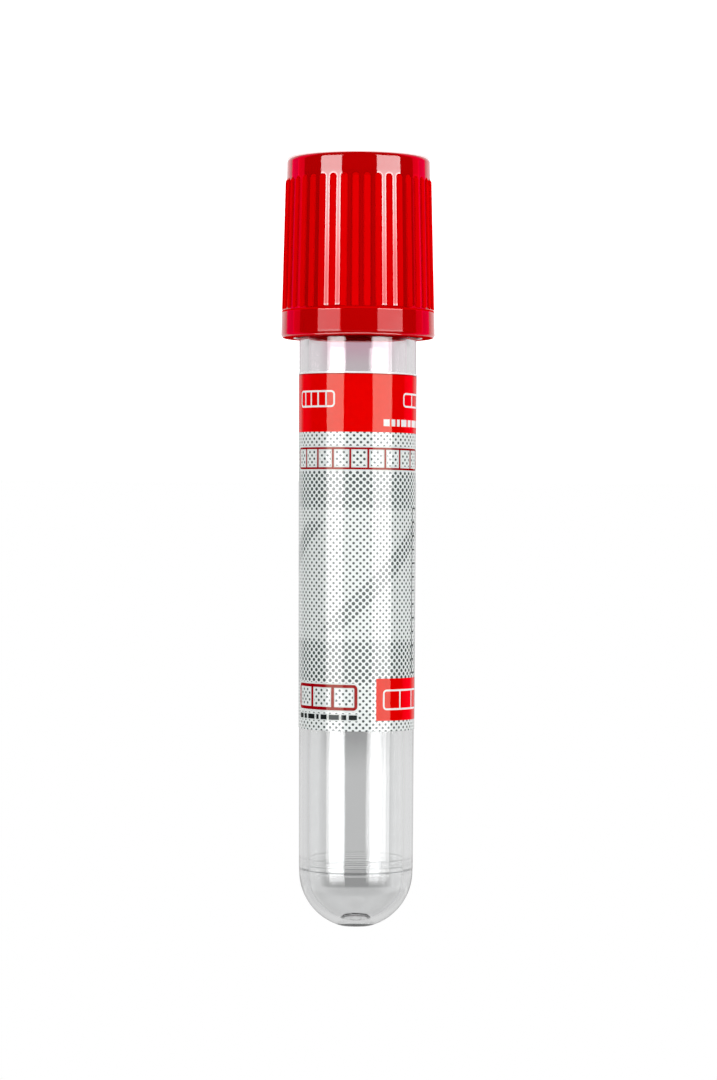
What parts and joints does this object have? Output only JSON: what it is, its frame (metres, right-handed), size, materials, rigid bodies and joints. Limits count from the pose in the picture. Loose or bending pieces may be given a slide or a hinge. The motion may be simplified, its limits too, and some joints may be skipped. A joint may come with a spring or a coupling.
{
  "type": "blood collection tube",
  "caption": "Evacuated sample tube with a round end, a rubber stopper in a ribbed red cap that pulls off, and a label with a red header, a halftone field and a bare strip to read the fill.",
  "frame": {"origin": "centre of the cap's flat top, on which the part stands on its head", "axes": "+Z along the tube's axis from the cap's flat top to the tube's round end, -Y out of the middle of the label"},
  "size_m": [0.017, 0.017, 0.0846],
  "materials": {
    "clear_plastic": "gloss",
    "stopper_rubber": "matte",
    "cap_plastic": "satin",
    "label_film": "satin",
    "red_print": "satin"
  },
  "bodies": {
    "closure": {"cap": "cap_plastic", "stopper": "stopper_rubber"},
    "vial": {"tube": "clear_plastic", "label": "label_film", "label_header": "red_print", "label_block": "red_print"}
  },
  "joints": [
    {"name": "closure_pull", "type": "slide", "parent": "closure", "child": "vial", "axis": [0, 0, 1], "range_m": [0, 0.025]}
  ]
}
